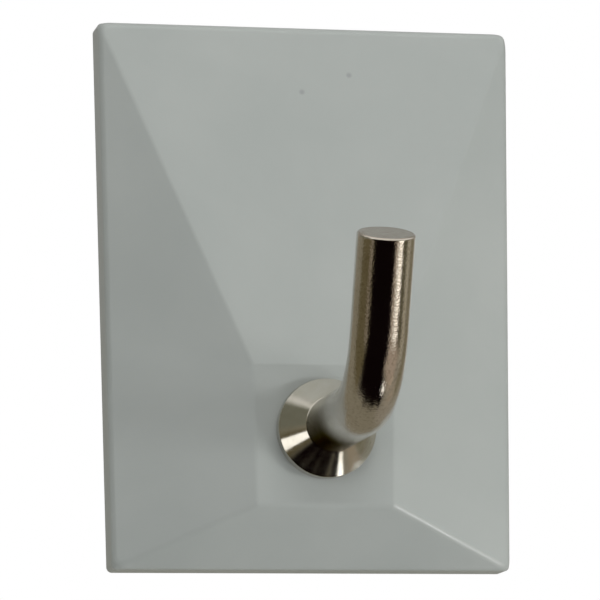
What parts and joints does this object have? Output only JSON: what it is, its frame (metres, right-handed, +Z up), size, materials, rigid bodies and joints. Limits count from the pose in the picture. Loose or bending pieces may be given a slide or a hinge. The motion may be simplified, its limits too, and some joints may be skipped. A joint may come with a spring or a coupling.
{
  "type": "adhesive hook",
  "caption": "Self-adhesive wall hook: a faceted moulded plate carries a bent plated rod through a conical collar, with a foam pad behind that sticks it to a flat surface.",
  "frame": {"origin": "centre of the adhesive face, where the foam pad meets the wall", "axes": "+Y into the wall, +Z up along the plate's long side, +X to the viewer's right; the hook stands out along -Y"},
  "size_m": [0.046, 0.0452, 0.06],
  "materials": {
    "shell_plastic": "satin",
    "panel_plastic": "matte",
    "foam": "matte",
    "plated_steel": "polished",
    "plated_collar": "satin",
    "zinc_steel": "satin"
  },
  "bodies": {
    "root": {"front_shell": "shell_plastic", "back_panel": "panel_plastic", "foam_pad": "foam", "hook_rod": "plated_steel", "collar": "plated_collar", "tail_washer": "zinc_steel", "tail_nut": "zinc_steel"}
  },
  "joints": []
}
